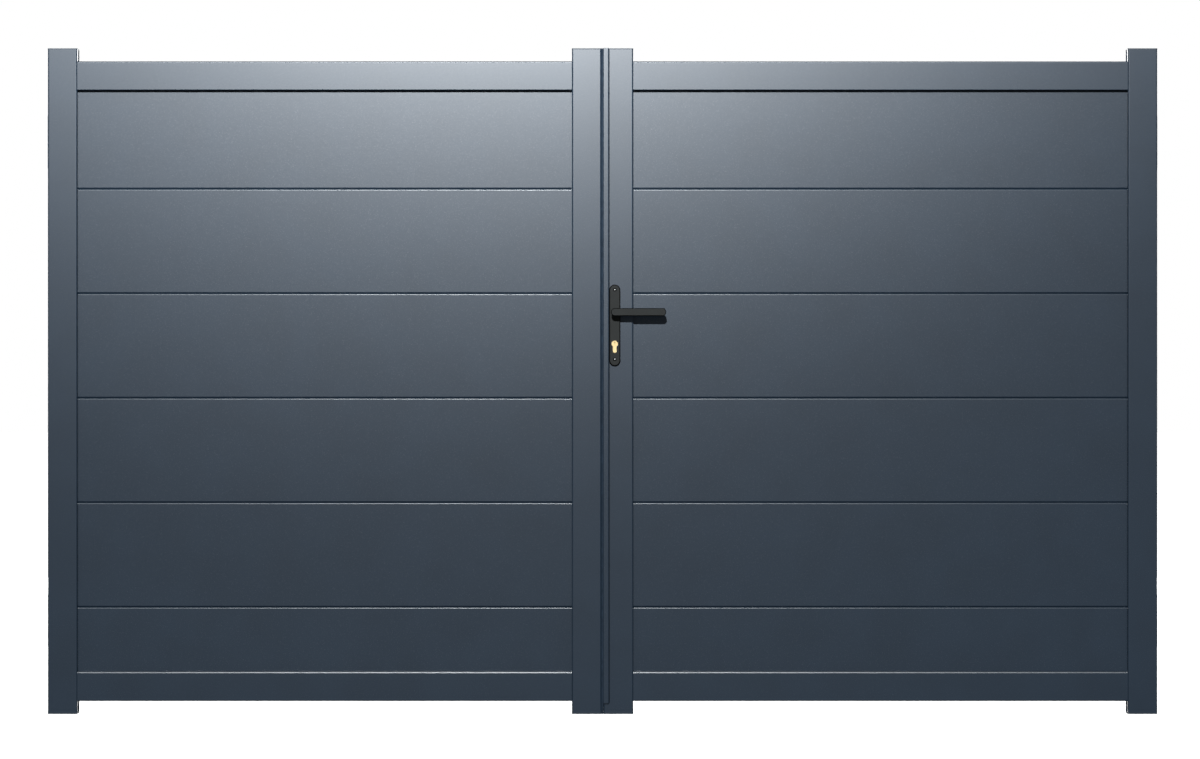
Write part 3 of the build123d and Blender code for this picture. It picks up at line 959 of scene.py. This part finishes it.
class GATE_OT_set_stage(bpy.types.Operator):
    """Set the floor, the studio light and the camera"""

    bl_idname = "gate.set_stage"
    bl_label = "Set Stage"

    def execute(self, context):
        stage = settings()[2]
        self.low, self.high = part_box("left_stile_caps")[0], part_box("right_stile_caps")[1]
        self.middle = (self.low + self.high) / 2
        self.lay_floor(stage)
        self.hang_lights(stage)
        self.surround(stage)
        self.place_camera(stage)
        context.scene.view_settings.view_transform = "Standard"
        return {"FINISHED"}

    def lay_floor(self, stage):
        """A wide pale floor that fades into the white surround."""
        form = bmesh.new()
        bmesh.ops.create_grid(form, x_segments=1, y_segments=1, size=60)
        floor = placed_object("studio_floor", form)
        floor.location = (self.middle.x, self.middle.y, self.low.z - stage.ground_gap)
        pale = Finish("pale studio floor", (0.86, 0.86, 0.86), 0.8)
        pale.shade(pale.grain(0.05), 0.01)
        away = pale.nodes.new("ShaderNodeVectorMath")
        away.operation = "LENGTH"
        pale.links.new(pale.place, away.inputs[0])
        glow = pale.between(away.outputs["Value"], 0.7, 1.0, start=2.5, end=9.0)
        pale.shader.inputs["Emission Color"].default_value = (1, 1, 1, 1)
        pale.links.new(glow, pale.shader.inputs["Emission Strength"])
        floor.data.materials.append(pale.material)
        floor.visible_diffuse = False
        floor.visible_glossy = False

    def hang_lights(self, stage):
        """A far compact key light with a beam, a wide light overhead and a soft one behind."""
        even = self.lamp("key_light", "POINT", stage.key_place, stage.key_aim, stage.key_even)
        beam = self.lamp("key_beam", "SPOT", stage.key_place, stage.key_aim, stage.key_beam)
        beam.spot_size = stage.key_angle
        beam.spot_blend = 1.0
        for light in (even, beam):
            light.shadow_soft_size = stage.key_size
            light.color = stage.key_tint
        under = (*stage.roof_place[:2], 0)
        self.lamp("overhead_light", "AREA", stage.roof_place, under, stage.roof_power, (4.5, 3.5))
        rear = self.lamp("rear_light", "AREA", stage.rear_place, self.middle, stage.rear_power, (12, 8))
        rear.specular_factor = 0.3

    def lamp(self, name, kind, point, aim, power, extent=None):
        """A light at a point that looks at aim."""
        light = bpy.data.lights.new(name, kind)
        light.energy = power
        if extent:
            light.shape = "RECTANGLE"
            light.size, light.size_y = extent
        holder = bpy.data.objects.new(name, light)
        holder.location = point
        holder.visible_camera = False
        holder.rotation_euler = (Vector(aim) - Vector(point)).to_track_quat("-Z", "Y").to_euler()
        bpy.context.scene.collection.objects.link(holder)
        return light

    def surround(self, stage):
        """White to the eye, dim as a source of light."""
        world = bpy.data.worlds.new("white studio")
        world.use_nodes = True
        nodes, links = world.node_tree.nodes, world.node_tree.links
        paper = nodes["Background"]
        paper.inputs["Color"].default_value = (1, 1, 1, 1)
        dim = nodes.new("ShaderNodeBackground")
        dim.inputs["Color"].default_value = (1, 1, 1, 1)
        dim.inputs["Strength"].default_value = stage.surround
        seen = nodes.new("ShaderNodeLightPath")
        mix = nodes.new("ShaderNodeMixShader")
        links.new(seen.outputs["Is Camera Ray"], mix.inputs["Fac"])
        links.new(dim.outputs["Background"], mix.inputs[1])
        links.new(paper.outputs["Background"], mix.inputs[2])
        links.new(mix.outputs["Shader"], nodes["World Output"].inputs["Surface"])
        bpy.context.scene.world = world

    def place_camera(self, stage):
        """A level camera, square to the gate."""
        camera = bpy.data.cameras.new("camera")
        camera.lens = stage.lens
        camera.sensor_width = 36
        camera.clip_end = 300
        holder = bpy.data.objects.new("camera", camera)
        holder.location = (
            self.middle.x - stage.camera_left,
            self.low.y - stage.camera_distance,
            self.middle.z + stage.camera_rise,
        )
        holder.rotation_euler = (math.pi / 2, 0, 0)
        bpy.context.scene.collection.objects.link(holder)
        bpy.context.scene.camera = holder


OPERATORS = (
    GATE_OT_coat_bars,
    GATE_OT_coat_boards,
    GATE_OT_cap_stiles,
    GATE_OT_fit_handle,
    GATE_OT_fit_cylinder,
    GATE_OT_finish_lock,
    GATE_OT_finish_hinges,
    GATE_OT_drive_screws,
    GATE_OT_set_stage,
)


class GATE_PT_tools(bpy.types.Panel):
    """Lists the gate's operators in the order in which they are used"""

    bl_label = "Double Swing Gate"
    bl_idname = "GATE_PT_tools"
    bl_space_type = "VIEW_3D"
    bl_region_type = "UI"
    bl_category = "Gate"

    def draw(self, context):
        for operator in OPERATORS:
            self.layout.operator(operator.bl_idname)


CLASSES = (GateFinishSettings, GateHardwareSettings, GateStageSettings, *OPERATORS, GATE_PT_tools)


def register():
    """Registers the classes and hangs the settings on the scene."""
    for cls in CLASSES:
        bpy.utils.register_class(cls)
    bpy.types.Scene.gate_finish = PointerProperty(type=GateFinishSettings)
    bpy.types.Scene.gate_hardware = PointerProperty(type=GateHardwareSettings)
    bpy.types.Scene.gate_stage = PointerProperty(type=GateStageSettings)


def unregister():
    """Takes the settings off the scene and unregisters the classes."""
    del bpy.types.Scene.gate_stage
    del bpy.types.Scene.gate_hardware
    del bpy.types.Scene.gate_finish
    for cls in reversed(CLASSES):
        bpy.utils.unregister_class(cls)


def main():
    """Builds the finished gate."""
    register()
    bpy.ops.gate.coat_bars()
    bpy.ops.gate.coat_boards()
    bpy.ops.gate.cap_stiles()
    bpy.ops.gate.fit_handle()
    bpy.ops.gate.fit_cylinder()
    bpy.ops.gate.finish_lock()
    bpy.ops.gate.finish_hinges()
    bpy.ops.gate.drive_screws()
    bpy.ops.gate.set_stage()


if __name__ == "__main__":
    main()
